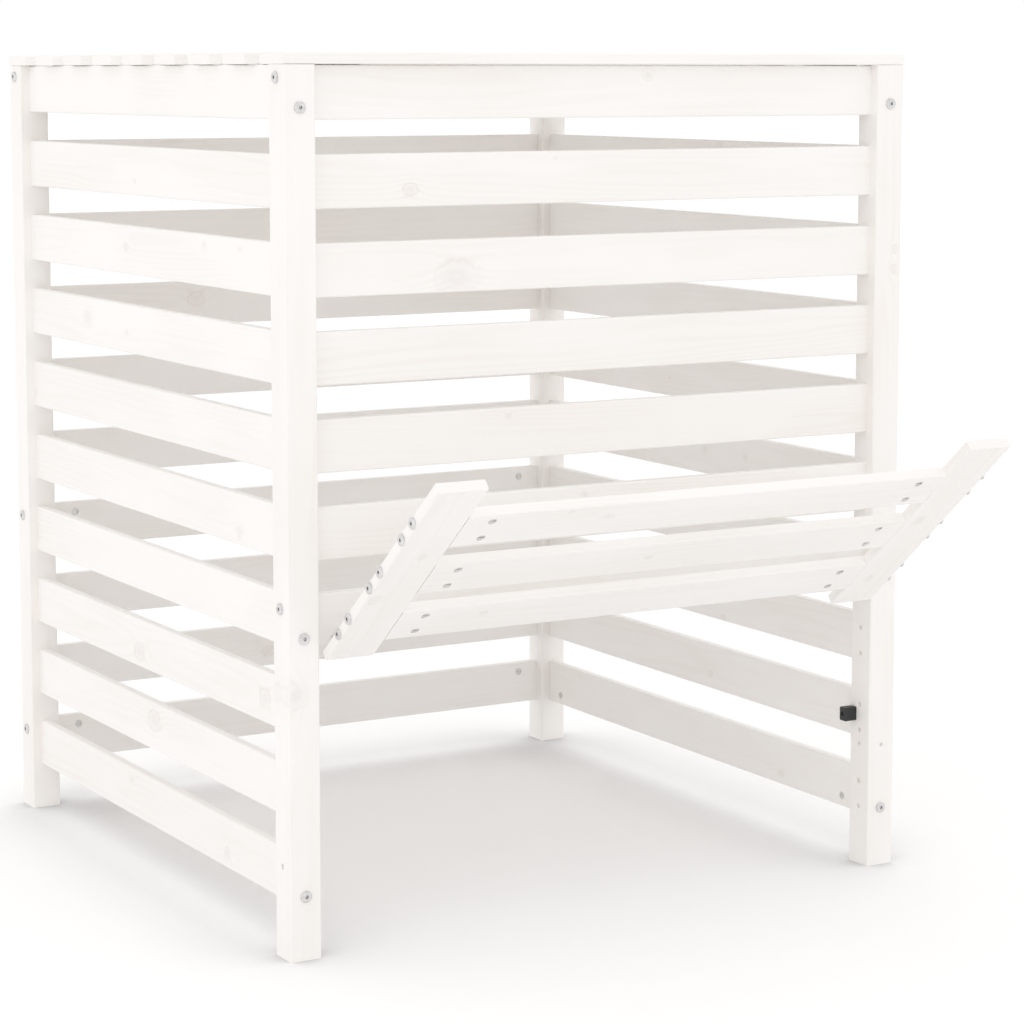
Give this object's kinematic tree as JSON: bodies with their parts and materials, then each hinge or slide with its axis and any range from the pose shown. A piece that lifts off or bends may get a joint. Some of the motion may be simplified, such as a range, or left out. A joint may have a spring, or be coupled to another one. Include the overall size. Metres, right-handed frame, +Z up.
{
  "type": "compost bin",
  "caption": "Square slatted wooden compost bin with corner posts, a slatted lid hinged at the back and a raised flap in the front.",
  "frame": {"origin": "middle of the underside of the whole bin's bounding box, the raised flap included", "axes": "+Z up, -Y towards the front with the flap, +X to the right as seen from the front"},
  "size_m": [0.83, 1.098, 0.995],
  "materials": {
    "white_wood": "white stain, satin, faint grain",
    "bare_wood": "bare beech",
    "bolt_steel": "zinc plated, satin",
    "hinge_steel": "zinc plated, satin",
    "screw_steel": "zinc plated, bright",
    "black_plastic": "moulded, matt"
  },
  "bodies": {
    "frame": {"post_front_left": "white_wood", "post_front_right": "white_wood", "post_back_left": "white_wood", "post_back_right": "white_wood", "left_slat_1": "white_wood", "left_slat_2": "white_wood", "left_slat_3": "white_wood", "left_slat_4": "white_wood", "left_slat_5": "white_wood", "left_slat_6": "white_wood", "left_slat_7": "white_wood", "left_slat_8": "white_wood", "left_slat_9": "white_wood", "left_slat_10": "white_wood", "right_slat_1": "white_wood", "right_slat_2": "white_wood", "right_slat_3": "white_wood", "right_slat_4": "white_wood", "right_slat_5": "white_wood", "right_slat_6": "white_wood", "right_slat_7": "white_wood", "right_slat_8": "white_wood", "right_slat_9": "white_wood", "right_slat_10": "white_wood", "front_slat_1": "white_wood", "front_slat_2": "white_wood", "front_slat_3": "white_wood", "front_slat_4": "white_wood", "front_slat_5": "white_wood", "front_slat_6": "white_wood", "front_slat_7": "white_wood", "back_slats": "white_wood", "frame_bolts": "bolt_steel", "frame_barrel_nuts": "bolt_steel", "dowels": "bare_wood", "hinge_frame_leaves": "hinge_steel", "hinge_pins": "hinge_steel", "frame_screws": "screw_steel", "flap_stop": "black_plastic"},
    "flap": {"flap_board_1": "white_wood", "flap_board_2": "white_wood", "flap_board_3": "white_wood", "flap_batten_left": "white_wood", "flap_batten_right": "white_wood", "flap_bolts": "bolt_steel", "flap_barrel_nuts": "bolt_steel", "hinge_flap_leaves": "hinge_steel", "flap_screws": "screw_steel"},
    "lid": {"lid_slat_1": "white_wood", "lid_slat_2": "white_wood", "lid_slat_3": "white_wood", "lid_slat_4": "white_wood", "lid_slat_5": "white_wood", "lid_slat_6": "white_wood", "lid_slat_7": "white_wood", "lid_slat_8": "white_wood", "lid_slat_9": "white_wood", "lid_battens": "white_wood", "hinge_lid_leaves": "hinge_steel", "lid_screws": "screw_steel"}
  },
  "joints": [
    {"name": "flap_hinge", "type": "hinge", "parent": "frame", "child": "flap", "pos_m": [0, -0.27739, 0.3463], "axis": [-1, 0, 0], "range_deg": [-130, 50]},
    {"name": "lid_hinge", "type": "hinge", "parent": "frame", "child": "lid", "pos_m": [0, 0.54446, 0.98235], "axis": [-1, 0, 0], "range_deg": [0, 205]}
  ]
}
